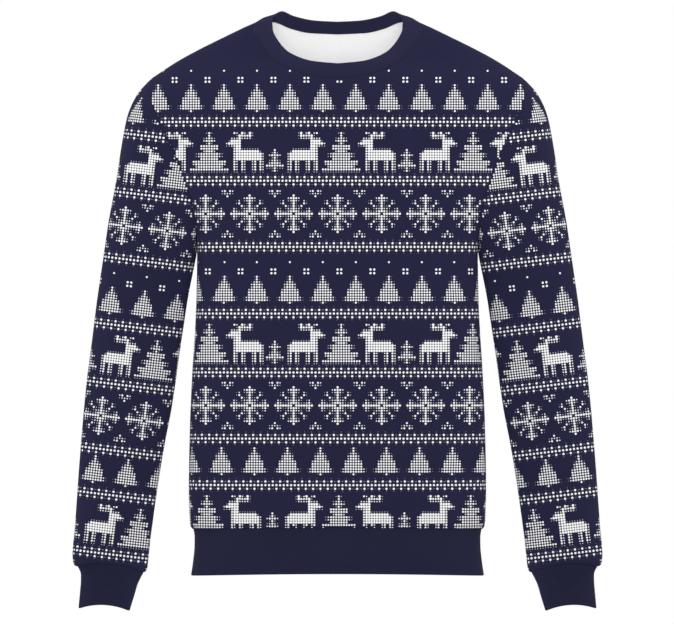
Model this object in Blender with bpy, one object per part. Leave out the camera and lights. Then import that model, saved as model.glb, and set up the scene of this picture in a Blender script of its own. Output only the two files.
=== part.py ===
"""Christmas sweater in its worn shape, with no wearer: a long-sleeved crew-neck pullover.

Eight sewn pieces, each one closed wall of cloth that is open where the garment is open: front, back,
two sleeves, neckband, hem band and two cuffs. Metres, +Z up, and the front faces -Y.
The origin is the middle of the neck, at the height of the neck points where the shoulder seams start.
Sizes in this script are in millimetres until a mesh is made.
"""

import math

import bpy
import numpy as np

METRES = 0.001

# ---- Cloth ---------------------------------------------------------------------------------------
PANEL_WALL = 1.8  # fleece-backed jersey
BAND_WALL = 3.0  # the same jersey folded double
SEAM_GAP = 0.3

# ---- How finely the pieces are divided -------------------------------------------------------------
HALF_COLUMNS = 13  # from the centre line of the front or back to its side
SIDE_ROWS = 12  # from the hem seam to the underarm
ARMHOLE_ROWS = 12  # from the underarm to the shoulder point
SHOULDER_ROWS = 6  # from the shoulder point to the neck point
SLEEVE_RINGS = 25
NECKBAND_ROWS = 4
SECTION_SAMPLES = 161  # points that a level section is measured with

# ---- Body ------------------------------------------------------------------------------------------
SQUARENESS = 2.6  # exponent of the body's level sections: 2 is an ellipse, more is boxier
UNDERARM_HEIGHT = -287.7
HEM_SEAM_HEIGHT = -632.4
HEM_RISE = 2.5  # the hem is this much higher at the centre than at the sides
HEM_RISE_TOP = -480.0  # the rise has died out at this height
TOP_EDGE_REACH = 3  # the higher, the nearer to the neck the rows stay level
NORMAL_STEP = 0.2  # the step that slopes are measured over
NORMAL_REACH = 0.9995  # share of the half width out to which slopes are measured
MITRE_LIMIT = 0.5  # keeps the mitre at a sharp corner of a seam short
SEAM_DECIMALS = 2  # points that agree to this many decimals of a millimetre are one seam point
BLOUSE_ROWS = 3  # rows of a table in which the cloth blouses over the band that gathers it


class Table:
    """Rows of numbers under named columns. The curve between the rows is smooth and never overshoots."""

    def __init__(self, columns, *rows):
        self.columns = columns.split()
        self.values = np.array(sorted(rows), float)

    def __call__(self, column, at):
        """Reads a column where the first column has the value at."""
        keys = self.values[:, 0]
        values = self.values[:, self.columns.index(column)]
        step = np.diff(keys)
        slope = np.diff(values) / step
        product = slope[:-1] * slope[1:]
        total = slope[:-1] + slope[1:]
        tangent = np.concatenate([slope[:1], np.zeros(len(product)), slope[-1:]])
        same_way = product > 0
        tangent[1:-1][same_way] = 2 * product[same_way] / total[same_way]
        row = np.clip(np.searchsorted(keys, at) - 1, 0, len(step) - 1)
        t = np.clip((at - keys[row]) / step[row], 0, 1)
        start = values[row] * (1 + 2 * t) + tangent[row] * step[row] * t
        end = values[row + 1] * (3 - 2 * t) - tangent[row + 1] * step[row] * (1 - t)
        return start * (1 - t) ** 2 + end * t**2


# Level sections of the body. Above the underarm the half width is the one that the body would have
# if it ran on through the armholes. The last rows above the hem seam turn in, where the cloth blouses.
BODY = Table(
    "height half_width front back",
    (-632.4, 179.6, 115.5, 111.5),
    (-631.0, 181.2, 117.0, 113.0),
    (-627.0, 182.7, 118.8, 114.8),
    (-619.0, 183.6, 120.0, 116.0),
    (-580.0, 184.6, 121.0, 116.0),
    (-508.0, 183.3, 121.0, 113.0),
    (-441.0, 180.5, 121.0, 110.0),
    (-387.0, 177.0, 123.0, 110.0),
    (-347.0, 175.2, 125.0, 112.0),
    (-287.7, 174.3, 127.0, 116.0),
    (-265.0, 179.5, 126.5, 117.0),
    (-210.0, 211.0, 120.0, 118.0),
    (-169.0, 243.0, 114.0, 116.0),
    (-125.0, 275.0, 101.0, 110.0),
    (-90.0, 292.0, 86.0, 99.0),
    (-72.0, 300.0, 76.0, 92.0),
    (-46.0, 305.0, 55.0, 81.0),
    (-27.0, 308.0, 47.0, 73.0),
    (-10.0, 310.0, 42.0, 67.0),
    (12.0, 312.0, 38.0, 58.0),
)

# The shoulder line seen from the front, run on over the neck. Below it the cloth rounds over,
# from straight up at the line to the full depth of the body at the distance round below it.
SHOULDER_LINE = Table(
    "across height round",
    (0, 50.0, 125),
    (40, 42.0, 122),
    (80, 18.0, 116),
    (104, -3.0, 110),
    (114.7, -7.8, 106),
    (133.5, -16.9, 100),
    (176.7, -38.4, 92),
    (197, -49.6, 87),
    (214.9, -61.0, 83),
    (231.5, -72.2, 80),
    (250, -85.0, 78),
)

# The armhole seam seen from the front or the back.
ARMHOLE = Table(
    "height across",
    (-287.7, 174.3),
    (-265.4, 175.2),
    (-234.0, 178.8),
    (-209.6, 185.4),
    (-164.0, 203.0),
    (-135.0, 216.5),
    (-123.0, 222.8),
    (-105.0, 230.4),
    (-90.5, 232.6),
    (-72.2, 231.5),
)

# The neckline seams seen from the front, from the centre line to the neck point.
FRONT_NECKLINE = (
    (0, -71.9),
    (11.8, -71.6),
    (39.1, -67.6),
    (63.9, -58.3),
    (82.5, -46.5),
    (96.7, -27.3),
    (103.5, -12.0),
    (104, -3.0),
)
BACK_NECKLINE = (
    (0, -16.1),
    (34.1, -14.3),
    (58.9, -8.7),
    (80, -0.5),
    (94, 1.5),
    (104, -3.0),
)

# Where a row of the panels starts on the centre line. stage follows the row's other end: 0 at the hem
# seam, 1 at the underarm, 2 at the shoulder point and 3 at the neck point.
CENTRE_LINE = Table(
    "stage front back",
    (0, -632.4, -632.4),
    (0.5, -460.0, -460.0),
    (1, -330.0, -325.0),
    (1.5, -222.0, -205.0),
    (2, -130.0, -98.0),
    (3, -71.9, -16.1),
)

# The neckband's free edge. turn runs from 0 at the centre front over 1 at the neck point to 2 at the
# centre back.
NECK_EDGE = Table(
    "turn across forward height",
    (0.00, 0.0, 70.0, -53.3),
    (0.25, 31.0, 64.0, -50.2),
    (0.50, 59.0, 47.0, -39.7),
    (0.70, 73.5, 31.0, -24.5),
    (0.85, 80.0, 15.0, -10.5),
    (1.00, 80.5, -1.0, 1.5),
    (1.15, 76.5, -15.0, 8.0),
    (1.30, 68.8, -27.0, 12.2),
    (1.50, 53.0, -38.5, 6.0),
    (1.75, 27.0, -49.0, 0.8),
    (2.00, 0.0, -52.5, -0.6),
)
NECKBAND_BULGE = 1.6  # how far the band's middle stands out from a straight strip

# Level sections of the hem band, from its seam to its free edge. Its seam is the body's lowest section.
HEM_BAND = Table(
    "height half_width front back",
    (-632.4, 179.6, 115.5, 111.5),
    (-635.5, 178.2, 114.2, 110.4),
    (-641.0, 177.4, 113.6, 110.0),
    (-652.0, 177.5, 113.8, 110.2),
    (-671.0, 179.3, 115.0, 111.4),
    (-689.0, 181.9, 116.5, 113.0),
)

# ---- Sleeve: the wearer's left, and the right is its mirror image -----------------------------------
# A row for each section across the sleeve. outer and inner are its two ends seen from the front, depth
# is its half depth, and forward is how far the arm has moved to the front. The first row lies in the
# armhole, and the last is the cuff seam. lift raises the section's front and back over its two ends.
SLEEVE = Table(
    "along outer_x outer_z inner_x inner_z depth forward lift",
    (0, 231.5, -72.2, 174.3, -287.7, 80, 0, 0),
    (24, 249.0, -92.5, 175.0, -291.5, 77, 0, 0),
    (56, 260.8, -119.0, 176.0, -296.5, 73, 0, 0),
    (97, 268.7, -159.0, 177.6, -304.5, 68, 0, 0),
    (131, 273.8, -193.0, 179.4, -313.5, 64, 0, 0),
    (189, 284.1, -249.5, 182.8, -330.5, 59, 0, 0),
    (243, 292.0, -302.5, 186.6, -350.5, 56, 0, 0),
    (289, 298.6, -348.0, 190.2, -375.0, 54.5, -1, 0),
    (348, 306.0, -406.7, 198.0, -427.0, 53, -1, 0),
    (391, 311.5, -449.0, 203.4, -467.0, 51, 1, 0),
    (478, 319.3, -535.7, 218.6, -550.0, 47, 7, 0),
    (569, 325.9, -627.0, 231.5, -640.0, 44, 15, 0),
    (606, 328.8, -663.8, 235.0, -672.0, 43, 18, 4),
    (614, 328.2, -671.7, 236.0, -680.0, 41.5, 18.6, 6),
    (619, 326.4, -676.4, 237.6, -684.0, 39.5, 19, 7),
    (623, 323.0, -678.8, 240.0, -686.0, 37, 19, 7),
)
CUFF = Table(
    "along outer_x outer_z inner_x inner_z depth forward lift",
    (0, 323.0, -678.8, 240.0, -686.0, 37, 19, 7),
    (4, 320.4, -681.7, 242.2, -688.4, 33.5, 19.2, 7),
    (10, 318.4, -687.5, 245.0, -693.5, 29.5, 19.6, 7),
    (17, 318.4, -694.0, 248.0, -700.0, 27, 20.2, 6.6),
    (31, 319.4, -708.0, 251.8, -713.0, 25, 21.4, 6.2),
    (52, 321.4, -729.6, 258.0, -733.0, 23.5, 23.4, 5.8),
)
ARMHOLE_FADE = 165  # how far down the sleeve the armhole's own shape is felt
CAP_CLOSENESS = 1.15  # the higher, the closer the sleeve's rings lie over the shoulder

# ---- Colours ---------------------------------------------------------------------------------------
NAVY = (0.024, 0.024, 0.055, 1)
BAND_NAVY = (0.018, 0.018, 0.042, 1)
ROUGHNESS = 0.9
SHARP_ANGLE = math.radians(50)


def path_points(points, count):
    """count + 1 points (x, z), evenly spaced along a smooth path through the given points."""
    points = np.array(points, float)
    runs = np.concatenate([[0], np.cumsum(np.linalg.norm(np.diff(points, axis=0), axis=1))])
    path = Table("run x z", *(tuple(row) for row in np.column_stack([runs, points])))
    at = np.linspace(0, runs[-1], count + 1)
    return path("x", at), path("z", at)


def body_depth(x, z, side):
    """How far the body's cloth stands in front of or behind the shoulder line at (x, z)."""
    level = np.clip(x / BODY("half_width", z), 0, 1)
    section = (1 - level**SQUARENESS) ** (1 / SQUARENESS)
    below = SHOULDER_LINE("height", x) - z
    rounding = np.clip(below / SHOULDER_LINE("round", x), 0, 1)
    return BODY(side, z) * section * np.sqrt(1 - (1 - rounding) ** 2)


def level_sections(z, side):
    """For each height, points (x) from the centre line to the side and how far round each one lies."""
    turn = np.linspace(0, math.pi / 2, SECTION_SAMPLES)
    x = BODY("half_width", z)[:, None] * np.sin(turn)
    depth = body_depth(x, z[:, None] + 0 * x, side)
    steps = np.hypot(np.diff(x, axis=1), np.diff(depth, axis=1))
    around = np.concatenate([np.zeros((len(z), 1)), np.cumsum(steps, axis=1)], axis=1)
    return x, around


def distance_round(x, z, side):
    """How far round the body from the centre line the points (x, z) lie."""
    sections = zip(x, *level_sections(z, side))
    return np.array([np.interp(here, xs, around) for here, xs, around in sections])


def place_across(around, z, side):
    """How far from the centre line, seen from the front, points at this distance round the body lie."""
    sections = zip(around, *level_sections(z, side))
    return np.array([np.interp(here, rounds, xs) for here, xs, rounds in sections])


def body_points(x, z, side):
    """Points of the body's cloth, for x from 0 up."""
    depth = body_depth(x, z, side)
    return np.stack([x, -depth if side == "front" else depth, z + hem_rise(x, z)], axis=-1)


def body_normals(points, side):
    """Outward normals of the body's cloth: the slope of y squared less the depth squared."""
    x, y, z = np.moveaxis(points, -1, 0)
    widest = NORMAL_REACH * BODY("half_width", z)
    x = np.clip(x, NORMAL_STEP, widest)
    z = np.minimum(z, SHOULDER_LINE("height", x) - 2 * NORMAL_STEP)
    slope_x = body_depth(x + NORMAL_STEP, z, side) ** 2 - body_depth(x - NORMAL_STEP, z, side) ** 2
    slope_z = body_depth(x, z + NORMAL_STEP, side) ** 2 - body_depth(x, z - NORMAL_STEP, side) ** 2
    normals = np.stack([-slope_x, 4 * NORMAL_STEP * y, -slope_z], axis=-1)
    normals[..., 0][points[..., 0] < NORMAL_STEP] = 0
    return normals / np.linalg.norm(normals, axis=-1, keepdims=True)


def hem_rise(x, z):
    """The rise of the hem at its centre, which dies out up the body."""
    fade = np.clip((HEM_RISE_TOP - z) / (HEM_RISE_TOP - HEM_SEAM_HEIGHT), 0, 1)
    return HEM_RISE * fade * (1 - (x / BODY("half_width", z)) ** 2)


def armhole_heights():
    """Heights of the armhole's points, underarm first, spaced as round a ring."""
    turn = np.linspace(-math.pi / 2, math.pi / 2, ARMHOLE_ROWS + 1)
    top = SLEEVE("outer_z", 0)
    return UNDERARM_HEIGHT + (top - UNDERARM_HEIGHT) * (1 + np.sin(turn)) / 2


def side_heights():
    """Heights of the side seam's points from the hem seam up, closer where the cloth blouses."""
    blouse = BODY.values[1:BLOUSE_ROWS + 1, 0]
    upper = np.linspace(blouse[-1], UNDERARM_HEIGHT, SIDE_ROWS - BLOUSE_ROWS + 1)[1:]
    return np.concatenate([[HEM_SEAM_HEIGHT], blouse, upper])


def outer_edge():
    """The half panel's outer edge (x, z) and its stages: the side, the armhole and the shoulder seam."""
    side_z = side_heights()
    armhole_z = armhole_heights()
    neck_point = FRONT_NECKLINE[-1][0]
    shoulder_x = np.linspace(ARMHOLE("across", armhole_z[-1]), neck_point, SHOULDER_ROWS + 1)[1:]
    x = np.concatenate([BODY("half_width", side_z), ARMHOLE("across", armhole_z[1:]), shoulder_x])
    z = np.concatenate([side_z, armhole_z[1:], SHOULDER_LINE("height", shoulder_x)])
    stages = [(side_z - HEM_SEAM_HEIGHT) / (UNDERARM_HEIGHT - HEM_SEAM_HEIGHT)]
    stages.append(1 + np.arange(1, ARMHOLE_ROWS + 1) / ARMHOLE_ROWS)
    stages.append(2 + np.arange(1, SHOULDER_ROWS + 1) / SHOULDER_ROWS)
    return x, z, np.concatenate(stages)


def half_panel(side):
    """The half of the front or back at x from 0 up, as a grid of points: rows go up, columns go out."""
    outer_x, outer_z, stages = outer_edge()
    neck_x, neck_z = path_points(FRONT_NECKLINE if side == "front" else BACK_NECKLINE, HALF_COLUMNS)
    side_run = distance_round(outer_x, outer_z, side)
    centre_z = CENTRE_LINE(side, stages)
    bottom_run = np.linspace(0, side_run[0], HALF_COLUMNS + 1)
    bottom = np.stack([bottom_run, HEM_SEAM_HEIGHT + 0 * bottom_run], axis=1)
    top = np.stack([distance_round(neck_x, neck_z, side), neck_z], axis=1)
    left = np.stack([0 * centre_z, centre_z], axis=1)
    right = np.stack([side_run, outer_z], axis=1)
    pattern = blended_patch(bottom, top, left, right)
    z = pattern[..., 1]
    x = place_across(pattern[..., 0].ravel(), z.ravel(), side).reshape(z.shape)
    x[-1], z[-1] = neck_x, neck_z
    x[:, -1], z[:, -1] = outer_x, outer_z
    return body_points(x, z, side)


def blended_patch(bottom, top, left, right):
    """Fills the space between four edges with a grid of points that follows all four.

    The top edge is felt only near it, so that the rows low down stay level."""
    across = np.linspace(0, 1, len(bottom))[None, :, None]
    up = (left[:, 1] - left[0, 1]) / (left[-1, 1] - left[0, 1])
    up = (up**TOP_EDGE_REACH)[:, None, None]
    between_rows = (1 - up) * bottom + up * top
    between_sides = (1 - across) * left[:, None] + across * right[:, None]
    corners_low = (1 - across) * bottom[0] + across * bottom[-1]
    corners_high = (1 - across) * top[0] + across * top[-1]
    return between_rows + between_sides - (1 - up) * corners_low - up * corners_high


def mirrored(grid):
    """The mirror image of a grid in the plane x = 0, with its outer side still outwards."""
    return grid[:, ::-1] * (-1, 1, 1)


def whole(half, side):
    """Front: columns from -x to +x. Back: from +x to -x. Both then face out."""
    front = np.concatenate([mirrored(half), half[:, 1:]], axis=1)
    return front if side == "front" else front[:, ::-1]


def body_loop(front_row, back_row):
    """One closed ring from a row of the front and the same row of the back."""
    return np.concatenate([front_row, back_row[1:-1]])


def hem_band(front, back):
    """The hem band, from its free edge up to its seam with the panels' lowest rows."""
    seam = body_loop(front[0], back[0])
    seam_width, seam_front, seam_back = HEM_BAND.values[-1, 1:]
    rows = []
    for height, half_width, front_depth, back_depth in HEM_BAND.values[:-1]:
        deep = np.where(seam[:, 1] < 0, front_depth / seam_front, back_depth / seam_back)
        scale = np.stack([0 * deep + half_width / seam_width, deep, 0 * deep + 1], axis=1)
        rows.append(seam * scale + (0, 0, height - HEM_SEAM_HEIGHT))
    rows.append(seam)
    return np.array(rows)


def neckband_turns():
    """The turn of each point round the neckband, less than 0 at -x. See NECK_EDGE."""
    front = np.linspace(-1, 1, 2 * HALF_COLUMNS + 1)
    back = -front[1:-1]
    to_the_back = np.where(back < 0, -2 - back, 2 - back)
    return np.concatenate([front, to_the_back])


def neckband(front, back):
    """The neckband, from its seam with the panels' neck edges up to its free edge."""
    seam = body_loop(front[-1], back[-1])
    turns = neckband_turns()
    edge = np.stack([np.sign(turns) * NECK_EDGE("across", abs(turns)),
                     -NECK_EDGE("forward", abs(turns)),
                     NECK_EDGE("height", abs(turns))], axis=1)
    strip = edge - seam
    around = np.roll(seam, -1, axis=0) - np.roll(seam, 1, axis=0)
    outward = unit(np.cross(around, strip))
    rows = []
    for part in np.linspace(0, 1, NECKBAND_ROWS + 1):
        arch = 4 * part * (1 - part)  # 0 at both edges and 1 in the middle
        rows.append(seam + part * strip + NECKBAND_BULGE * arch * outward)
    return np.array(rows)


def tube_ring(table, along, turn):
    """A section across the sleeve or cuff. turn is -pi/2 at its inner end and 0 at the front."""
    outer = np.array([table("outer_x", along), table("outer_z", along)])
    inner = np.array([table("inner_x", along), table("inner_z", along)])
    middle = (outer + inner) / 2
    half = (outer - inner) / 2
    x = middle[0] + half[0] * np.sin(turn)
    z = middle[1] + half[1] * np.sin(turn) + table("lift", along) * np.cos(turn) ** 2
    y = -table("forward", along) - table("depth", along) * np.cos(turn)
    return np.stack([x, y, z], axis=1)


def ring_turns():
    """Angles round a ring of the sleeve: up the front from the underarm, then down the back."""
    return np.linspace(-math.pi / 2, 3 * math.pi / 2, 2 * ARMHOLE_ROWS + 1)[:-1]


def armhole_loop(front, back):
    """The armhole at +x as a ring of the sleeve: up the front panel's edge, down the back panel's."""
    rows = slice(SIDE_ROWS, SIDE_ROWS + ARMHOLE_ROWS + 1)
    return np.concatenate([front[rows, -1], back[rows, 0][-2:0:-1]])


def sleeve_stations():
    """Places of the sleeve's rings, closer over the shoulder and where the cloth blouses."""
    blouse = SLEEVE.values[-BLOUSE_ROWS - 1:, 0]
    even = np.linspace(0, 1, SLEEVE_RINGS - BLOUSE_ROWS)[:-1]
    return np.concatenate([blouse[0] * even**CAP_CLOSENESS, blouse])


def left_sleeve(armhole):
    """The sleeve at +x, from its cuff seam up to the armhole."""
    turns = ring_turns()
    own_shape = armhole - tube_ring(SLEEVE, 0.0, turns)
    rows = []
    for along in sleeve_stations():
        fade = max(0, 1 - along / ARMHOLE_FADE) ** 2
        rows.append(tube_ring(SLEEVE, along, turns) + fade * own_shape)
    return np.array(rows[::-1])


def left_cuff():
    """The cuff at +x, from its free edge up to its seam."""
    turns = ring_turns()
    rows = [tube_ring(CUFF, along, turns) for along in CUFF.values[:, 0]]
    return np.array(rows[::-1])


def unit(vectors):
    return vectors / np.maximum(np.linalg.norm(vectors, axis=-1, keepdims=True), 1e-9)


def grid_normals(grid):
    """Outward normals of a piece that closes round, from the points beside each point."""
    up = np.gradient(grid, axis=0)
    around = np.roll(grid, -1, axis=1) - np.roll(grid, 1, axis=1)
    return unit(np.cross(around, up))


class Piece:
    """One sewn piece: a grid of its outer points, their normals, its wall and whether it closes round."""

    def __init__(self, name, grid, wall, normals=None):
        self.name = name
        self.grid = grid
        self.wall = wall
        self.closed = normals is None
        self.normals = grid_normals(grid) if self.closed else normals

    def edges(self):
        """The piece's edges as runs of (row, column), each with the piece on its left seen from outside."""
        rows, columns = self.grid.shape[:2]
        lowest = [(0, column) for column in range(columns)]
        highest = [(rows - 1, column) for column in reversed(range(columns))]
        if self.closed:
            return [lowest, highest]
        right = [(row, columns - 1) for row in range(1, rows - 1)]
        left = [(row, 0) for row in reversed(range(1, rows - 1))]
        return [lowest + right + highest + left]

    def steps_from_seams(self):
        """The short moves that take the piece's edges back from its seams, square to each edge."""
        steps = np.zeros_like(self.grid)
        for edge in self.edges():
            where = tuple(np.array(edge).T)
            points = self.grid[where]
            forth = unit(np.roll(points, -1, axis=0) - points)
            inward_next = unit(np.cross(self.normals[where], forth))
            inward_last = unit(np.cross(self.normals[where], np.roll(forth, 1, axis=0)))
            meeting = 1 + np.sum(inward_next * inward_last, axis=1, keepdims=True)
            steps[where] = (inward_next + inward_last) / np.maximum(meeting, MITRE_LIMIT) * SEAM_GAP / 2
        return steps


def share_seam_normals(pieces):
    """Points where pieces meet take one mean normal, so that the walls' edges face each other squarely.

    The front and back count as one cloth, and where both end at a band they alone set the normal."""
    meeting = {}
    for piece in pieces:
        for index in sum(piece.edges(), []):
            place = tuple(np.round(piece.grid[index], SEAM_DECIMALS))
            meeting.setdefault(place, []).append((piece, index))
    for members in meeting.values():
        cloths = {}
        for piece, index in members:
            cloth = "body" if piece.name in ("front", "back") else piece.name
            cloths.setdefault(cloth, []).append(piece.normals[index])
        if len(members) > 2 and any(piece.wall == BAND_WALL for piece, index in members):
            cloths = {"body": cloths["body"]}
        mean = unit(sum(unit(sum(normals)) for normals in cloths.values()))
        for piece, index in members:
            piece.normals[index] = mean


def wall_faces(rows, columns, closed):
    """Faces of a closed wall: its outer side, its inner side and the rims between them."""
    def outer(row, column):
        return row * columns + column % columns

    def inner(row, column):
        return rows * columns + outer(row, column)

    faces = []
    for row in range(rows - 1):
        for column in range(columns if closed else columns - 1):
            corners = [(row, column), (row, column + 1), (row + 1, column + 1), (row + 1, column)]
            faces.append([outer(*corner) for corner in corners])
            faces.append([inner(*corner) for corner in reversed(corners)])
    for column in range(columns if closed else columns - 1):
        low, high = 0, rows - 1
        faces.append([outer(low, column + 1), outer(low, column),
                      inner(low, column), inner(low, column + 1)])
        faces.append([outer(high, column), outer(high, column + 1),
                      inner(high, column + 1), inner(high, column)])
    if not closed:
        first, last = 0, columns - 1
        for row in range(rows - 1):
            faces.append([outer(row, first), outer(row + 1, first),
                          inner(row + 1, first), inner(row, first)])
            faces.append([outer(row + 1, last), outer(row, last),
                          inner(row, last), inner(row + 1, last)])
    return faces


def new_material(name, colour):
    """A plain cloth finish."""
    material = bpy.data.materials.new(name)
    material.use_nodes = True
    shader = material.node_tree.nodes["Principled BSDF"]
    shader.inputs["Base Color"].default_value = colour
    shader.inputs["Roughness"].default_value = ROUGHNESS
    shader.inputs["Metallic"].default_value = 0
    return material


def add_wall(piece):
    """Makes one piece's object: a closed wall that has the grid as its outer side."""
    rows, columns = piece.grid.shape[:2]
    steps = piece.steps_from_seams()
    outer = (piece.grid + steps).reshape(-1, 3)
    inner = (piece.grid - piece.wall * piece.normals + steps).reshape(-1, 3)
    points = np.concatenate([outer, inner]) * METRES
    mesh = bpy.data.meshes.new(piece.name)
    mesh.from_pydata(points.tolist(), [], wall_faces(rows, columns, piece.closed))
    mesh.shade_smooth()
    mesh.set_sharp_from_angle(angle=SHARP_ANGLE)
    mesh.materials.append(new_material(piece.name, NAVY if piece.wall == PANEL_WALL else BAND_NAVY))
    bpy.context.scene.collection.objects.link(bpy.data.objects.new(piece.name, mesh))


def sewn_pieces():
    """Every piece of the garment, with its seams' points shared by the pieces that meet there."""
    half_front = half_panel("front")
    half_back = half_panel("back")
    front = whole(half_front, "front")
    back = whole(half_back, "back")
    front_normals = whole(body_normals(half_front, "front"), "front")
    back_normals = whole(body_normals(half_back, "back"), "back")
    sleeve = left_sleeve(armhole_loop(front, back))
    cuff = left_cuff()
    return [
        Piece("front", front, PANEL_WALL, front_normals),
        Piece("back", back, PANEL_WALL, back_normals),
        Piece("sleeve_left", sleeve, PANEL_WALL),
        Piece("sleeve_right", mirrored(sleeve), PANEL_WALL),
        Piece("neckband", neckband(front, back), BAND_WALL),
        Piece("hem_band", hem_band(front, back), BAND_WALL),
        Piece("cuff_left", cuff, BAND_WALL),
        Piece("cuff_right", mirrored(cuff), BAND_WALL),
    ]


def main():
    for old in list(bpy.data.objects):
        bpy.data.objects.remove(old)
    pieces = sewn_pieces()
    share_seam_normals(pieces)
    for piece in pieces:
        add_wall(piece)


main()
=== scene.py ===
"""Looks of the christmas sweater: fine cloth on the form of its solids, creases, print, light and camera.

The tables and the functions that shape the garment are those of its solids, read on a finer grid, which is
evened out inside each panel. The creases, the seam valleys and the print are added here.
Lengths are in millimetres until a mesh is made. The front faces -Y.
"""

import math

import bpy
import numpy as np
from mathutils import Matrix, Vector
from mathutils.bvhtree import BVHTree
from mathutils.geometry import barycentric_transform


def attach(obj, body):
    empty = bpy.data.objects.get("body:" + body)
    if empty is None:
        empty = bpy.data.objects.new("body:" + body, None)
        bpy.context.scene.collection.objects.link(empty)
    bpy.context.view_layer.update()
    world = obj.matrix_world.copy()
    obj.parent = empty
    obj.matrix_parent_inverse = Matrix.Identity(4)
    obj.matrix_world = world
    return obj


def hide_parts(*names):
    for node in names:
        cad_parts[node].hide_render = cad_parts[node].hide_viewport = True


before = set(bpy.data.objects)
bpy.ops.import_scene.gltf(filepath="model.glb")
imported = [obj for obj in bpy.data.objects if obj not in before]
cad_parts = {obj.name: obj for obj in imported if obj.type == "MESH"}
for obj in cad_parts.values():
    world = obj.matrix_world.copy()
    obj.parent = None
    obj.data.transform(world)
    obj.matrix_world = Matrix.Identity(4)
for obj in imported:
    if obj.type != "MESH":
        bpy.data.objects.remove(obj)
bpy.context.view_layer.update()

METRES = 0.001

# ---- Cloth ----
PANEL_WALL = 1.8  # fleece-backed jersey
BAND_WALL = 3.0  # the same jersey folded double
SEAM_GAP = 0.05  # the thread draws the edges together
FREE_EDGE_ROUNDING = 0.45  # of the wall, where a band is folded over
SEAM_ROUNDING = 0.4  # of the wall, where cloth turns in to a seam
SEAM_VALLEY = 0.7  # how deep the cloth is drawn in along a seam
SEAM_VALLEY_WIDTH = 2.6
EDGE_LINES = (0.08, 0.22, 0.42, 0.7)  # extra grid lines in the cells beside an edge

# ---- How finely the pieces are divided ----
HALF_COLUMNS = 78  # from the centre line of the front or back to its side
SIDE_ROWS = 104  # from the hem seam to the underarm
ARMHOLE_ROWS = 58  # from the underarm to the shoulder point
SHOULDER_ROWS = 34  # from the shoulder point to the neck point
SLEEVE_RINGS = 176
NECKBAND_ROWS = 10
BAND_ROW = 2.6  # height of a row of the hem band and the cuffs
SECTION_SAMPLES = 321  # points that a level section is measured with

# ---- Body ----
SQUARENESS = 2.6  # exponent of the body's level sections: 2 is an ellipse, more is boxier
UNDERARM_HEIGHT = -287.7
HEM_SEAM_HEIGHT = -632.4
HEM_RISE = 2.5  # the hem is this much higher at the centre than at the sides
HEM_RISE_TOP = -480.0  # the rise has died out at this height
TOP_EDGE_REACH = 3  # the higher, the nearer to the neck the rows stay level
RELAXING_ROUNDS = 60  # each takes a panel's inner points to the mean of their neighbours


class Table:
    """Rows of numbers under named columns. The curve between the rows is smooth and never overshoots."""

    def __init__(self, columns, *rows):
        self.columns = columns.split()
        self.values = np.array(sorted(rows), float)

    def __call__(self, column, at):
        """Reads a column where the first column has the value at."""
        keys = self.values[:, 0]
        values = self.values[:, self.columns.index(column)]
        step = np.diff(keys)
        slope = np.diff(values) / step
        product = slope[:-1] * slope[1:]
        total = slope[:-1] + slope[1:]
        tangent = np.concatenate([slope[:1], np.zeros(len(product)), slope[-1:]])
        same_way = product > 0
        tangent[1:-1][same_way] = 2 * product[same_way] / total[same_way]
        row = np.clip(np.searchsorted(keys, at) - 1, 0, len(step) - 1)
        t = np.clip((at - keys[row]) / step[row], 0, 1)
        start = values[row] * (1 + 2 * t) + tangent[row] * step[row] * t
        end = values[row + 1] * (3 - 2 * t) - tangent[row + 1] * step[row] * (1 - t)
        return start * (1 - t) ** 2 + end * t**2


# Level sections of the body. Above the underarm the half width is the one that the body would have
# if it ran on through the armholes. The last rows above the hem seam turn in, where the cloth blouses.
BODY = Table(
    "height half_width front back",
    (-632.4, 179.6, 115.5, 111.5),
    (-631.0, 181.2, 117.0, 113.0),
    (-627.0, 182.7, 118.8, 114.8),
    (-619.0, 183.6, 120.0, 116.0),
    (-580.0, 184.6, 121.0, 116.0),
    (-508.0, 183.3, 121.0, 113.0),
    (-441.0, 180.5, 121.0, 110.0),
    (-387.0, 177.0, 123.0, 110.0),
    (-347.0, 175.2, 125.0, 112.0),
    (-287.7, 174.3, 127.0, 116.0),
    (-265.0, 179.5, 126.5, 117.0),
    (-210.0, 211.0, 120.0, 118.0),
    (-169.0, 243.0, 114.0, 116.0),
    (-125.0, 275.0, 101.0, 110.0),
    (-90.0, 292.0, 86.0, 99.0),
    (-72.0, 300.0, 76.0, 92.0),
    (-46.0, 305.0, 55.0, 81.0),
    (-27.0, 308.0, 47.0, 73.0),
    (-10.0, 310.0, 42.0, 67.0),
    (12.0, 312.0, 38.0, 58.0),
)

# The shoulder line seen from the front, run on over the neck. Below it the cloth rounds over,
# from straight up at the line to the full depth of the body at the distance round below it.
SHOULDER_LINE = Table(
    "across height round",
    (0, 50.0, 125),
    (40, 42.0, 122),
    (80, 18.0, 116),
    (104, -3.0, 110),
    (114.7, -7.8, 106),
    (133.5, -16.9, 100),
    (176.7, -38.4, 92),
    (197, -49.6, 87),
    (214.9, -61.0, 83),
    (231.5, -72.2, 80),
    (250, -85.0, 78),
)

# The armhole seam seen from the front or the back.
ARMHOLE = Table(
    "height across",
    (-287.7, 174.3),
    (-265.4, 175.2),
    (-234.0, 178.8),
    (-209.6, 185.4),
    (-164.0, 203.0),
    (-135.0, 216.5),
    (-123.0, 222.8),
    (-105.0, 230.4),
    (-90.5, 232.6),
    (-72.2, 231.5),
)

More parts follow.
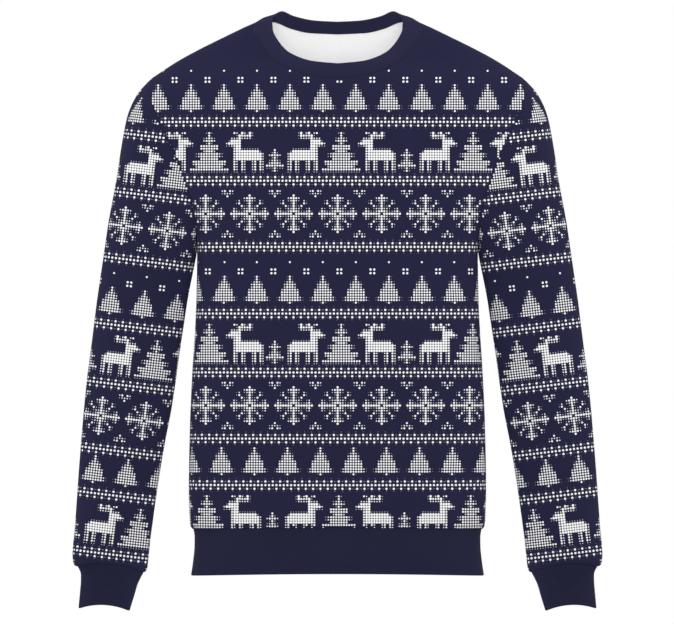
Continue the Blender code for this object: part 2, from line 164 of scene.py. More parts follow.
# The neckline seams seen from the front, from the centre line to the neck point.
FRONT_NECKLINE = (
    (0, -71.9),
    (11.8, -71.6),
    (39.1, -67.6),
    (63.9, -58.3),
    (82.5, -46.5),
    (96.7, -27.3),
    (103.5, -12.0),
    (104, -3.0),
)
BACK_NECKLINE = (
    (0, -16.1),
    (34.1, -14.3),
    (58.9, -8.7),
    (80, -0.5),
    (94, 1.5),
    (104, -3.0),
)

# Where a row of the panels starts on the centre line. stage follows the row's other end: 0 at the hem
# seam, 1 at the underarm, 2 at the shoulder point and 3 at the neck point.
CENTRE_LINE = Table(
    "stage front back",
    (0, -632.4, -632.4),
    (0.5, -460.0, -460.0),
    (1, -330.0, -325.0),
    (1.5, -222.0, -205.0),
    (2, -130.0, -98.0),
    (3, -71.9, -16.1),
)

# The neckband's free edge. turn runs from 0 at the centre front over 1 at the neck point to 2 at the
# centre back.
NECK_EDGE = Table(
    "turn across forward height",
    (0.00, 0.0, 70.0, -53.3),
    (0.25, 31.0, 64.0, -50.2),
    (0.50, 59.0, 47.0, -39.7),
    (0.70, 73.5, 31.0, -24.5),
    (0.85, 80.0, 15.0, -10.5),
    (1.00, 80.5, -1.0, 1.5),
    (1.15, 76.5, -15.0, 8.0),
    (1.30, 68.8, -27.0, 12.2),
    (1.50, 53.0, -38.5, 6.0),
    (1.75, 27.0, -49.0, 0.8),
    (2.00, 0.0, -52.5, -0.6),
)
NECKBAND_BULGE = 1.6  # how far the band's middle stands out from a straight strip

# Level sections of the hem band, from its seam to its free edge. Its seam is the body's lowest section.
HEM_BAND = Table(
    "height half_width front back",
    (-632.4, 179.6, 115.5, 111.5),
    (-635.5, 178.2, 114.2, 110.4),
    (-641.0, 177.4, 113.6, 110.0),
    (-652.0, 177.5, 113.8, 110.2),
    (-671.0, 179.3, 115.0, 111.4),
    (-689.0, 181.9, 116.5, 113.0),
)

# ---- Sleeve: the wearer's left, and the right is its mirror image ----
# A row for each section across the sleeve. outer and inner are its two ends seen from the front, depth
# is its half depth, and forward is how far the arm has moved to the front. The first row lies in the
# armhole, and the last is the cuff seam. lift raises the section's front and back over its two ends.
SLEEVE = Table(
    "along outer_x outer_z inner_x inner_z depth forward lift",
    (0, 231.5, -72.2, 174.3, -287.7, 80, 0, 0),
    (24, 249.0, -92.5, 175.0, -291.5, 77, 0, 0),
    (56, 260.8, -119.0, 176.0, -296.5, 73, 0, 0),
    (97, 268.7, -159.0, 177.6, -304.5, 68, 0, 0),
    (131, 273.8, -193.0, 179.4, -313.5, 64, 0, 0),
    (189, 284.1, -249.5, 182.8, -330.5, 59, 0, 0),
    (243, 292.0, -302.5, 186.6, -350.5, 56, 0, 0),
    (289, 298.6, -348.0, 190.2, -375.0, 54.5, -1, 0),
    (348, 306.0, -406.7, 198.0, -427.0, 53, -1, 0),
    (391, 311.5, -449.0, 203.4, -467.0, 51, 1, 0),
    (478, 319.3, -535.7, 218.6, -550.0, 47, 7, 0),
    (569, 325.9, -627.0, 231.5, -640.0, 44, 15, 0),
    (606, 328.8, -663.8, 235.0, -672.0, 43, 18, 4),
    (614, 328.2, -671.7, 236.0, -680.0, 41.5, 18.6, 6),
    (619, 326.4, -676.4, 237.6, -684.0, 39.5, 19, 7),
    (623, 323.0, -678.8, 240.0, -686.0, 37, 19, 7),
)
CUFF = Table(
    "along outer_x outer_z inner_x inner_z depth forward lift",
    (0, 323.0, -678.8, 240.0, -686.0, 37, 19, 7),
    (4, 320.4, -681.7, 242.2, -688.4, 33.5, 19.2, 7),
    (10, 318.4, -687.5, 245.0, -693.5, 29.5, 19.6, 7),
    (17, 318.4, -694.0, 248.0, -700.0, 27, 20.2, 6.6),
    (31, 319.4, -708.0, 251.8, -713.0, 25, 21.4, 6.2),
    (52, 321.4, -729.6, 258.0, -733.0, 23.5, 23.4, 5.8),
)
ARMHOLE_FADE = 165  # how far down the sleeve the armhole's own shape is felt
CAP_CLOSENESS = 1.15  # the higher, the closer the sleeve's rings lie over the shoulder

# ---- Creases ----
CREASE_SEAM_FADE = 9  # creases die out over this distance from a seam
CREASE_END = 0.06  # of the sine that a crease swells and dies by, where it starts
CREASE_FACING = (2.2, 0.35)  # how fast a crease fades where the cloth turns away, and where it starts to
BODY_CREASE_TABLE = (
    # side, start (x, z), end (x, z), bow, width, height
    ("front", (-160, -318), (-92, -262), 6, 11, -1.6),
    ("front", (-164, -345), (-108, -300), 5, 9, -1.1),
    ("front", (160, -322), (88, -268), -6, 12, -1.5),
    ("front", (165, -350), (112, -308), -4, 9, -1.2),
    ("front", (-168, -560), (-120, -606), 5, 10, -1.2),
    ("front", (166, -548), (112, -604), -6, 11, -1.3),
    ("front", (-60, -596), (-34, -628), 3, 8, -0.8),
    ("front", (38, -600), (58, -628), -3, 8, -0.8),
    ("back", (-158, -312), (-84, -250), 7, 12, -1.8),
    ("back", (160, -320), (92, -262), -7, 11, -1.7),
    ("back", (-150, -470), (-60, -508), 9, 16, -1.6),
    ("back", (152, -452), (48, -500), -9, 17, -1.7),
    ("back", (-96, -556), (70, -566), 6, 14, -1.3),
    ("back", (-165, -580), (-104, -610), 4, 10, -1.2),
    ("back", (164, -572), (96, -608), -5, 11, -1.2),
)
SLEEVE_CREASE_TABLE = (
    ("front", (190, -330), (236, -296), 5, 9, -1.5),
    ("front", (192, -372), (238, -346), 4, 8, -1.1),
    ("front", (206, -470), (262, -446), 5, 10, -1.4),
    ("front", (214, -520), (258, -506), 4, 9, -1.0),
    ("front", (236, -640), (276, -614), 4, 8, -1.2),
    ("front", (318, -648), (288, -628), -3, 8, -1.0),
    ("back", (190, -326), (240, -290), 6, 10, -1.6),
    ("back", (196, -400), (258, -372), 6, 11, -1.5),
    ("back", (208, -462), (282, -440), 6, 12, -1.7),
    ("back", (214, -512), (276, -500), 5, 10, -1.3),
    ("back", (238, -642), (284, -616), 4, 9, -1.2),
)
BAND_CREASE_TABLE = (
    ("front", (-120, -640), (-112, -676), 1, 8, -0.6),
    ("front", (-44, -640), (-40, -668), 1, 7, -0.5),
    ("front", (70, -640), (64, -672), -1, 8, -0.6),
    ("back", (-90, -640), (-84, -674), 1, 8, -0.6),
    ("back", (30, -640), (28, -670), -1, 8, -0.5),
    ("back", (110, -640), (104, -672), -1, 8, -0.6),
)
CUFF_CREASE_TABLE = (
    ("front", (303, -682), (266, -716), 3, 3.4, -2.4),
    ("front", (296, -694), (270, -723), 3, 5, 0.9),
    ("front", (283, -683), (267, -690), 1.5, 2.6, -1.6),
    ("front", (312, -688), (306, -716), -1, 5, 1.0),
    ("back", (300, -682), (268, -712), 2, 4, -2.0),
    ("back", (278, -686), (262, -704), 2, 4, -1.2),
)

# ---- Print ----
FRONT_FACING = 1.6  # the slope, depth over width, up to which the print keeps its width seen from the front
CELL = 3.22  # pitch of the dots of the motifs
BORDER_CELL = 4.54
REPEAT = 163.4  # the print repeats across at this distance
DOT_RADIUS = {"%": 1.62, "#": 1.26, "o": 0.83, ".": 0.45, ",": 0.25, "@": 1.45}
DOT_CORNERS = 8
PRINT_LIFT = 0.13  # how far the print stands off the cloth
MOTIF_REACH = 60  # more than the height of any motif
SLEEVE_TILT = math.radians(6.93)  # the sleeve's print leans with the arm
SLEEVE_PRINT_START = {"sleeve_left": 177.0, "sleeve_right": 178.1}
SLEEVE_PRINT_DROP = 44.6

SMALL_TREE = ("#,", "#,", "#o,", "##o", "##o", "###o", "####", "####", "####o,", "####o,", "#,")
BIG_TREE = ("#.", "#", "#o.", "##o", "#.", "####", "####", "##o", "####o.", "####o.", "####",
            "#######", "######o", "#####o", "########", "........")
MINI_TREE = ("#", "#.", "##o", "#.", "#o.", "##o", "####", "#...", "#.")
DEER = (
    "    .%,o% o#   ",
    "    .%###%.    ",
    "    ,oooo%ooo  ",
    "         %%%%. ",
    "         %%%%%o",
    "         %%#o..",
    "  .......%%#   ",
    " .%%%%%%%%%#   ",
    "o%%%%%%%%%%#   ",
    "o%%%%%%%%%%#   ",
    "o%%%%%%%%%%#   ",
    "o# #o  o# o#   ",
    "o# #o  o# o#   ",
    "o# #o  o# o#   ",
    "o# #o  o# o#   ",
    ".. ..  .. ..   ",
)
HEART = ("o# #o", ".ooo.", "  #  ")
SNOWFLAKE_QUARTER = (
    "@",
    "@#o",
    "@o. o,",
    "@.  #.",
    "@..#",
    "@oo. .o",
    "@#o..o#,",
    " @@@@@@@",
)
BORDER = ("@", "@@", " @")
# Fine flecks round the border's dots: how far across and how far down from its first dot, and the radius
BORDER_FLECKS = (
    (0, -3.8, 0.24),
    (4.54, 0.6, 0.24),
    (3.74, -0.2, 0.24),
    (5.34, -0.2, 0.24),
    (-0.8, 9.1, 0.24),
    (0.8, 9.1, 0.24),
    (4.54, 12.2, 0.24),
)

# A row for each band of the print: motif, how far its first dots are below the tile's top, where the
# first one is across, and how many there are in a repeat.
TILE_ROWS = (
    ("dot", 63.1, (-18.1,), 4),
    ("four dots", 72.2, (2.3,), 4),
    ("small tree", 81.1, (-18.1,), 4),
    ("border", 122.2, (-158.8,), 18),
    ("big tree", 140.6, (-158.8,), 1),
    ("deer back", 140.6, (-114.7,), 1),
    ("deer", 140.6, (-38.5,), 1),
    ("mini tree", 161.6, (-77.6,), 1),
    ("border", 195.1, (-158.8,), 18),
    ("heart", 212.4, (-136.2, -77.5, -27.3), 1),
    ("snowflake", 218.0, (-163.2,), 3),
    ("triangle", 262.3, (-136.2, -77.5, -27.3), 1),
    ("border", 277.0, (-158.8,), 18),
)
# Each tile's top, how far it is set off across, and how many rows of it are left out
BODY_TILES = ((0, 0, 0), (-237.3, 0, 0), (-449.65, -3.0, 2))
SLEEVE_TILES = ((0, 0, 0), (-237.3, 0, 0), (-447.4, 4.8, 2))

# ---- Colours and light ----
NAVY = (0.0160, 0.0160, 0.0430)
BAND_NAVY = (0.0158, 0.0158, 0.0388)
NECKBAND_NAVY = (0.0182, 0.0182, 0.0450)
# painted light: the neckband's inner face is the same jersey as its outside, given a lighter navy to offset the
# shade inside the neck ring
NECKBAND_INSIDE_PAINTED_LIGHT_NAVY = (0.0215, 0.0215, 0.0530)
WHITE_INSIDE = (0.9, 0.9, 0.9)
INK = (0.70, 0.70, 0.70)
INK_ROUGHNESS = 0.75
JERSEY_ROUGHNESS = 0.85
FLEECE_ROUGHNESS = 0.95
SPECULAR_LEVEL = 0.02
CLOTH_DIFFUSE_ROUGHNESS = 1.0  # the nap keeps cloth that turns away from the light from darkening
WALES_PER_METRE = 900
COURSES_PER_METRE = 1100
WAVE_SCALE = math.tau / 20  # a wave texture makes 20 waves in math.tau
UNEVENNESS = 0.07  # of the dye, up and down
WORLD_LIGHT = 1.0
# Each lamp's watts, its size, where it is and where it points, in metres
KEY_LAMP = (44, 1.5, (0, -2.7, 0.42), (0, 0, -0.3))
INSIDE_LAMP = (0.55, 0.2, (0, 0, -0.745), (0, 0, -0.3))  # under the hem, for the white inside of the neck

# ---- Stage ----
FLOOR_HEIGHT = -0.80
FLOOR_RADIUS = 1.2
FLOOR_WHITE = (0.9, 0.9, 0.9)
FLOOR_ROUGHNESS = 0.8
IMAGE = (674, 624)
PIXEL = 1.24  # the size of one on the garment
SENSOR = 36
CAMERA_DISTANCE = 36000
CAMERA_PLANE = 45  # PIXEL is measured this far in front of the origin
CAMERA_AIM = (-0.6, -362.1)


def path_points(points, count):
    """count + 1 points (x, z), evenly spaced along a smooth path through the given points."""
    points = np.array(points, float)
    runs = np.concatenate([[0], np.cumsum(np.linalg.norm(np.diff(points, axis=0), axis=1))])
    path = Table("run x z", *(tuple(row) for row in np.column_stack([runs, points])))
    at = np.linspace(0, runs[-1], count + 1)
    return path("x", at), path("z", at)


def body_depth(x, z, side):
    """How far the body's cloth stands in front of or behind the shoulder line at (x, z)."""
    level = np.clip(x / BODY("half_width", z), 0, 1)
    section = (1 - level**SQUARENESS) ** (1 / SQUARENESS)
    below = SHOULDER_LINE("height", x) - z
    rounding = np.clip(below / SHOULDER_LINE("round", x), 0, 1)
    return BODY(side, z) * section * np.sqrt(1 - (1 - rounding) ** 2)


def level_sections(z, side):
    """For each height, points (x) from the centre line to the side and how far round each one lies."""
    turn = np.linspace(0, math.pi / 2, SECTION_SAMPLES)
    x = BODY("half_width", z)[:, None] * np.sin(turn)
    depth = body_depth(x, z[:, None] + 0 * x, side)
    steps = np.hypot(np.diff(x, axis=1), np.diff(depth, axis=1))
    around = np.concatenate([np.zeros((len(z), 1)), np.cumsum(steps, axis=1)], axis=1)
    return x, around


def distance_round(x, z, side):
    """How far round the body from the centre line the points (x, z) lie."""
    sections = zip(x, *level_sections(z, side))
    return np.array([np.interp(here, xs, around) for here, xs, around in sections])


def place_across(around, z, side):
    """How far from the centre line, seen from the front, points at this distance round the body lie."""
    sections = zip(around, *level_sections(z, side))
    return np.array([np.interp(here, rounds, xs) for here, xs, rounds in sections])


def body_points(x, z, side):
    """Points of the body's cloth, for x from 0 up."""
    depth = body_depth(x, z, side)
    return np.stack([x, -depth if side == "front" else depth, z + hem_rise(x, z)], axis=-1)


def hem_rise(x, z):
    """The rise of the hem at its centre, which dies out up the body."""
    fade = np.clip((HEM_RISE_TOP - z) / (HEM_RISE_TOP - HEM_SEAM_HEIGHT), 0, 1)
    return HEM_RISE * fade * (1 - (x / BODY("half_width", z)) ** 2)


def armhole_heights():
    """Heights of the armhole's points, underarm first, spaced as round a ring."""
    turn = np.linspace(-math.pi / 2, math.pi / 2, ARMHOLE_ROWS + 1)
    top = SLEEVE("outer_z", 0)
    return UNDERARM_HEIGHT + (top - UNDERARM_HEIGHT) * (1 + np.sin(turn)) / 2


def side_heights():
    """Heights of the side seam's points from the hem seam up."""
    return np.linspace(HEM_SEAM_HEIGHT, UNDERARM_HEIGHT, SIDE_ROWS + 1)


def outer_edge():
    """The half panel's outer edge (x, z) and its stages: the side, the armhole and the shoulder seam."""
    side_z = side_heights()
    armhole_z = armhole_heights()
    neck_point = FRONT_NECKLINE[-1][0]
    shoulder_x = np.linspace(ARMHOLE("across", armhole_z[-1]), neck_point, SHOULDER_ROWS + 1)[1:]
    x = np.concatenate([BODY("half_width", side_z), ARMHOLE("across", armhole_z[1:]), shoulder_x])
    z = np.concatenate([side_z, armhole_z[1:], SHOULDER_LINE("height", shoulder_x)])
    stages = [(side_z - HEM_SEAM_HEIGHT) / (UNDERARM_HEIGHT - HEM_SEAM_HEIGHT)]
    stages.append(1 + np.arange(1, ARMHOLE_ROWS + 1) / ARMHOLE_ROWS)
    stages.append(2 + np.arange(1, SHOULDER_ROWS + 1) / SHOULDER_ROWS)
    return x, z, np.concatenate(stages)


def half_panel(side):
    """The half of the front or back at x from 0 up, as a grid of points: rows go up, columns go out."""
    outer_x, outer_z, stages = outer_edge()
    neck_x, neck_z = path_points(FRONT_NECKLINE if side == "front" else BACK_NECKLINE, HALF_COLUMNS)
    side_run = distance_round(outer_x, outer_z, side)
    centre_z = CENTRE_LINE(side, stages)
    bottom_run = np.linspace(0, side_run[0], HALF_COLUMNS + 1)
    bottom = np.stack([bottom_run, HEM_SEAM_HEIGHT + 0 * bottom_run], axis=1)
    top = np.stack([distance_round(neck_x, neck_z, side), neck_z], axis=1)
    left = np.stack([0 * centre_z, centre_z], axis=1)
    right = np.stack([side_run, outer_z], axis=1)
    pattern = relaxed(blended_patch(bottom, top, left, right))
    z = pattern[..., 1]
    x = place_across(pattern[..., 0].ravel(), z.ravel(), side).reshape(z.shape)
    x[-1], z[-1] = neck_x, neck_z
    x[:, -1], z[:, -1] = outer_x, outer_z
    return body_points(x, z, side)


def blended_patch(bottom, top, left, right):
    """Fills the space between four edges with a grid of points that follows all four.

    The top edge is felt only near it, so that the rows low down stay level."""
    across = np.linspace(0, 1, len(bottom))[None, :, None]
    up = (left[:, 1] - left[0, 1]) / (left[-1, 1] - left[0, 1])
    up = (up**TOP_EDGE_REACH)[:, None, None]
    between_rows = (1 - up) * bottom + up * top
    between_sides = (1 - across) * left[:, None] + across * right[:, None]
    corners_low = (1 - across) * bottom[0] + across * bottom[-1]
    corners_high = (1 - across) * top[0] + across * top[-1]
    return between_rows + between_sides - (1 - up) * corners_low - up * corners_high


def relaxed(pattern):
    """Evens out a grid inside its edges, so that its rows don't cross at the corner of the shoulder point."""
    for _ in range(RELAXING_ROUNDS):
        aside = pattern[1:-1, :-2] + pattern[1:-1, 2:]
        above_and_below = pattern[:-2, 1:-1] + pattern[2:, 1:-1]
        pattern[1:-1, 1:-1] = (aside + above_and_below) / 4
    return pattern


def mirrored(grid):
    """The mirror image of a grid in the plane x = 0, with its outer side still outwards."""
    return grid[:, ::-1] * (-1, 1, 1)


def whole(half, side):
    """Front: columns from -x to +x. Back: from +x to -x. Both then face out."""
    front = np.concatenate([mirrored(half), half[:, 1:]], axis=1)
    return front if side == "front" else front[:, ::-1]


def body_loop(front_row, back_row):
    """One closed ring from a row of the front and the same row of the back."""
    return np.concatenate([front_row, back_row[1:-1]])


def band_heights(table):
    """Evenly spaced places along a band, from its free edge to its seam."""
    first, last = table.values[0, 0], table.values[-1, 0]
    return np.linspace(first, last, round((last - first) / BAND_ROW) + 1)


def hem_band(front, back):
    """The hem band, from its free edge up to its seam with the panels' lowest rows."""
    seam = body_loop(front[0], back[0])
    seam_width, seam_front, seam_back = HEM_BAND.values[-1, 1:]
    rows = []
    for height in band_heights(HEM_BAND)[:-1]:
        wide = HEM_BAND("half_width", height) / seam_width
        deep_front = HEM_BAND("front", height) / seam_front
        deep_back = HEM_BAND("back", height) / seam_back
        deep = np.where(seam[:, 1] < 0, deep_front, deep_back)
        scale = np.stack([0 * deep + wide, deep, 0 * deep + 1], axis=1)
        rows.append(seam * scale + (0, 0, height - HEM_SEAM_HEIGHT))
    rows.append(seam)
    return np.array(rows)


def neckband_turns():
    """The turn of each point round the neckband, less than 0 at -x. See NECK_EDGE."""
    front = np.linspace(-1, 1, 2 * HALF_COLUMNS + 1)
    back = -front[1:-1]
    to_the_back = np.where(back < 0, -2 - back, 2 - back)
    return np.concatenate([front, to_the_back])


def neckband(front, back):
    """The neckband, from its seam with the panels' neck edges up to its free edge."""
    seam = body_loop(front[-1], back[-1])
    turns = neckband_turns()
    edge = np.stack([np.sign(turns) * NECK_EDGE("across", abs(turns)),
                     -NECK_EDGE("forward", abs(turns)),
                     NECK_EDGE("height", abs(turns))], axis=1)
    strip = edge - seam
    around = np.roll(seam, -1, axis=0) - np.roll(seam, 1, axis=0)
    outward = unit(np.cross(around, strip))
    rows = []
    for part in np.linspace(0, 1, NECKBAND_ROWS + 1):
        bulge = NECKBAND_BULGE * 4 * part * (1 - part)
        rows.append(seam + part * strip + bulge * outward)
    return np.array(rows)


def tube_ring(table, along, turn):
    """A section across the sleeve or cuff. turn is -pi/2 at its inner end and 0 at the front."""
    outer = np.array([table("outer_x", along), table("outer_z", along)])
    inner = np.array([table("inner_x", along), table("inner_z", along)])
    middle = (outer + inner) / 2
    half = (outer - inner) / 2
    x = middle[0] + half[0] * np.sin(turn)
    z = middle[1] + half[1] * np.sin(turn) + table("lift", along) * np.cos(turn) ** 2
    y = -table("forward", along) - table("depth", along) * np.cos(turn)
    return np.stack([x, y, z], axis=1)


def ring_turns():
    """Angles round a ring of the sleeve: up the front from the underarm, then down the back."""
    return np.linspace(-math.pi / 2, 3 * math.pi / 2, 2 * ARMHOLE_ROWS + 1)[:-1]


def armhole_loop(front, back):
    """The armhole at +x as a ring of the sleeve: up the front panel's edge, down the back panel's."""
    rows = slice(SIDE_ROWS, SIDE_ROWS + ARMHOLE_ROWS + 1)
    return np.concatenate([front[rows, -1], back[rows, 0][-2:0:-1]])


def sleeve_stations():
    """Places of the sleeve's rings, a little closer over the shoulder."""
    return SLEEVE.values[-1, 0] * np.linspace(0, 1, SLEEVE_RINGS) ** CAP_CLOSENESS


def left_sleeve(armhole):
    """The sleeve at +x, from its cuff seam up to the armhole."""
    turns = ring_turns()
    own_shape = armhole - tube_ring(SLEEVE, 0.0, turns)
    rows = []
    for along in sleeve_stations():
        fade = max(0, 1 - along / ARMHOLE_FADE) ** 2
        rows.append(tube_ring(SLEEVE, along, turns) + fade * own_shape)
    return np.array(rows[::-1])


def left_cuff():
    """The cuff at +x, from its free edge up to its seam."""
    turns = ring_turns()
    rows = [tube_ring(CUFF, along, turns) for along in band_heights(CUFF)]
    return np.array(rows[::-1])


def unit(vectors):
    return vectors / np.maximum(np.linalg.norm(vectors, axis=-1, keepdims=True), 1e-9)


def grid_normals(grid, closed):
    """Outward normals of a grid of points: the mean of the faces about each point."""
    grid = np.concatenate([grid, grid[:, :1]], axis=1) if closed else grid
    faces = np.cross(grid[1:, 1:] - grid[:-1, :-1], grid[1:, :-1] - grid[:-1, 1:])
    normals = np.zeros_like(grid)
    for rows in (slice(None, -1), slice(1, None)):
        for columns in (slice(None, -1), slice(1, None)):
            normals[rows, columns] += faces
    if closed:
        normals[:, 0] += normals[:, -1]
        normals = normals[:, :-1]
    return unit(normals)


def run_across(across, forward, start):
    """Where each point of a grid lies on its flat print, across it.

    Where the cloth faces the front the print keeps its width as seen from there, and where the cloth
    turns away it keeps its width along the cloth. start is the column that the distances start from."""
    seen = np.abs(np.diff(across, axis=1))
    hidden = np.maximum(np.abs(np.diff(forward, axis=1)) - FRONT_FACING * seen, 0)
    run = np.cumsum(np.hypot(seen, hidden), axis=1)
    run = np.concatenate([np.zeros((len(run), 1)), run], axis=1)
    return run - run[:, start:start + 1] + across[:, start:start + 1]


# ---- Creases ----
class Crease:
    """A soft trough or ridge along a bowed line, seen from the front or the back."""

    def __init__(self, side, start, end, bow, width, height):
        self.faces = -1 if side == "front" else 1
        self.start = np.array(start, float)
        self.end = np.array(end, float)
        self.bow = bow
        self.width = width
        self.height = height

    def relief(self, points, normals):
        """How far the crease lifts each point."""
        line = self.end - self.start
        length = np.linalg.norm(line)
        ahead = line / length
        aside = np.array([-ahead[1], ahead[0]])
        seen = points[..., [0, 2]] - self.start
        along = seen @ ahead / length
        inside = np.clip(along, 0, 1)
        off = seen @ aside - self.bow * 4 * inside * (1 - inside)
        off = np.hypot(off, (along - inside) * length)
        fade = np.sin(math.pi * (CREASE_END + (1 - 2 * CREASE_END) * inside)) ** 0.8
        facing = np.clip(normals[..., 1] * self.faces * CREASE_FACING[0] + CREASE_FACING[1], 0, 1)
        return self.height * fade * facing * np.exp(-(off / self.width) ** 2)


def relief_of(creases, grid, normals):
    return sum(crease.relief(grid, normals) for crease in creases) + 0 * grid[..., 0]


# ---- Pieces ----
class Cloth:
    """One sewn piece: the grid of its outer points and where each lies on the flat cloth.

    flat has one more column than a grid that closes round, for the way back to its first column."""

    def __init__(self, name, grid, flat, wall, closed, creases=()):
        self.name = name
        self.wall = wall
        self.closed = closed
        self.flat = flat
        normals = grid_normals(grid, closed)
        lift = relief_of(creases, grid, normals) * self.seam_fade(grid)
        self.grid = grid + lift[..., None] * normals
        self.normals = grid_normals(self.grid, closed)

    def edge_distances(self, grid):
        """How far each point is from the lowest row, from the highest row and from the nearer side."""
        up = np.linalg.norm(np.diff(grid, axis=0), axis=2)
        low = np.concatenate([np.zeros((1, grid.shape[1])), np.cumsum(up, axis=0)])
        high = low[-1] - low
        if self.closed:
            return low, high, np.full(grid.shape[:2], 1e3)
        over = np.linalg.norm(np.diff(grid, axis=1), axis=2)
        left = np.concatenate([np.zeros((len(grid), 1)), np.cumsum(over, axis=1)], axis=1)
        return low, high, np.minimum(left, left[:, -1:] - left)

    def seam_fade(self, grid):
        """0 on the piece's edges and 1 away from them, so that creases leave the seams where they are."""
        nearest = np.minimum.reduce(self.edge_distances(grid))
        return np.clip(nearest / CREASE_SEAM_FADE, 0, 1) ** 0.7

    def edges(self):
        """The piece's edges as runs of (row, column), each with the piece on its left seen from outside."""
        rows, columns = self.grid.shape[:2]
        lowest = [(0, column) for column in range(columns)]
        highest = [(rows - 1, column) for column in reversed(range(columns))]
        if self.closed:
            return [lowest, highest]
        right = [(row, columns - 1) for row in range(1, rows - 1)]
        left = [(row, 0) for row in reversed(range(1, rows - 1))]
        return [lowest + right + highest + left]

    def step_back_from_seams(self):
        """Takes the piece's edges back from its seams, square to each edge."""
        steps = np.zeros_like(self.grid)
        for edge in self.edges():
            where = tuple(np.array(edge).T)
            points = self.grid[where]
            forth = unit(np.roll(points, -1, axis=0) - points)
            inward_next = unit(np.cross(self.normals[where], forth))
            inward_last = unit(np.cross(self.normals[where], np.roll(forth, 1, axis=0)))
            meeting = 1 + np.sum(inward_next * inward_last, axis=1, keepdims=True)
            steps[where] = (inward_next + inward_last) / np.maximum(meeting, 0.5) * SEAM_GAP / 2
        self.grid = self.grid + steps

    def add_edge_lines(self):
        """Adds grid lines close to the edges, so that they can be round."""
        self.grid, self.normals, self.flat = (with_lines(values) for values in (self.grid, self.normals, self.flat))
        if not self.closed:
            self.grid, self.normals, self.flat = (
                with_lines(values.swapaxes(0, 1)).swapaxes(0, 1) for values in (self.grid, self.normals, self.flat)
            )
        self.normals = unit(self.normals)

    def sides(self):
        """The wall's outer and inner points, drawn in along its seams and rounded at its edges."""
        low, high, side = self.edge_distances(self.grid)
        free_low = self.name == "hem_band" or self.name.startswith("cuff")
        free_high = self.name == "neckband"
        inset = 0
        valley = 0
        for distance, free in ((low, free_low), (high, free_high), (side, False)):
            rounding = self.wall * (FREE_EDGE_ROUNDING if free else SEAM_ROUNDING)
            left = np.clip(1 - distance / rounding, 0, 1)
            inset = np.maximum(inset, rounding * (1 - np.sqrt(1 - left**2)))
            if not free:
                valley = np.maximum(valley, SEAM_VALLEY * np.exp(-(distance / SEAM_VALLEY_WIDTH) ** 2))
        outer = self.grid - (valley + inset)[..., None] * self.normals
        inner = self.grid - (valley + self.wall - inset)[..., None] * self.normals
        return outer, inner


def with_lines(values):
    """The rows of values, with extra ones in the first and the last gap."""
    lines = np.array(EDGE_LINES).reshape((-1,) + (1,) * (values.ndim - 1))
    first = values[:1] + lines * (values[1:2] - values[:1])
    last = values[-1:] + lines[::-1] * (values[-2:-1] - values[-1:])
    return np.concatenate([values[:1], first, values[1:-1], last, values[-1:]])


def share_seam_normals(pieces):
    """Points where pieces meet take one mean normal, so that the walls' edges face each other squarely.

    The front and back count as one cloth, and where both end at a band they alone set the normal."""
    meeting = {}
    for piece in pieces:
        for index in sum(piece.edges(), []):
            place = tuple(np.round(piece.grid[index], 2))
            meeting.setdefault(place, []).append((piece, index))
    for members in meeting.values():
        cloths = {}
        for piece, index in members:
            cloth = "body" if piece.name in ("front", "back") else piece.name
            cloths.setdefault(cloth, []).append(piece.normals[index])
        if len(members) > 2 and any(piece.wall == BAND_WALL for piece, index in members):
            cloths = {"body": cloths["body"]}
        mean = unit(sum(unit(sum(normals)) for normals in cloths.values()))
        for piece, index in members:
            piece.normals[index] = mean


def body_flat(grid, side):
    """The front's or back's print coordinates: across from its centre line, and height."""
    across = grid[..., 0] if side == "front" else -grid[..., 0]
    middle = grid.shape[1] // 2
    return np.stack([run_across(across, grid[..., 1], middle), grid[..., 2]], axis=-1)


def sleeve_flat(grid, name):
    """The print coordinates of a sleeve, read at +x. There the print is the mirror image of the body's."""
    grid = np.concatenate([grid, grid[:, :1]], axis=1)
    cos, sin = math.cos(SLEEVE_TILT), math.sin(SLEEVE_TILT)
    height = grid[..., 2] * cos - grid[..., 0] * sin
    across = grid[..., 0] * cos + grid[..., 2] * sin
    front = (grid.shape[1] - 1) // 4
    run = run_across(across, grid[..., 1], front)
    return np.stack([SLEEVE_PRINT_START[name] - run, height + SLEEVE_PRINT_DROP], axis=-1)


def band_flat(grid):
    """Distances round a band and up it, which its weave follows."""
    grid = np.concatenate([grid, grid[:, :1]], axis=1)
    around = np.linalg.norm(np.diff(grid, axis=1), axis=2)
    around = np.concatenate([np.zeros((len(grid), 1)), np.cumsum(around, axis=1)], axis=1)
    return np.stack([around, grid[..., 2]], axis=-1)


def garment():
    """Every piece of the garment on its fine grid."""
    front = whole(half_panel("front"), "front")
    back = whole(half_panel("back"), "back")
    sleeve = left_sleeve(armhole_loop(front, back))
    hem = hem_band(front, back)
    neck = neckband(front, back)
    cuff = left_cuff()
    other_sleeve = np.roll(mirrored(sleeve), 1, axis=1)
    other_cuff = mirrored(cuff)
    flat = sleeve_flat(sleeve, "sleeve_left")
    other_flat = sleeve_flat(sleeve, "sleeve_right")[:, ::-1]
    return [
        Cloth("front", front, body_flat(front, "front"), PANEL_WALL, False, BODY_CREASES),
        Cloth("back", back, body_flat(back, "back"), PANEL_WALL, False, BODY_CREASES),
        Cloth("sleeve_left", sleeve, flat, PANEL_WALL, True, SLEEVE_CREASES),
        Cloth("sleeve_right", other_sleeve, other_flat, PANEL_WALL, True, mirror_creases(SLEEVE_CREASES)),
        Cloth("neckband", neck, band_flat(neck), BAND_WALL, True),
        Cloth("hem_band", hem, band_flat(hem), BAND_WALL, True, BAND_CREASES),
        Cloth("cuff_left", cuff, band_flat(cuff), BAND_WALL, True, CUFF_CREASES),
        Cloth("cuff_right", other_cuff, band_flat(other_cuff), BAND_WALL, True, mirror_creases(CUFF_CREASES)),
    ]


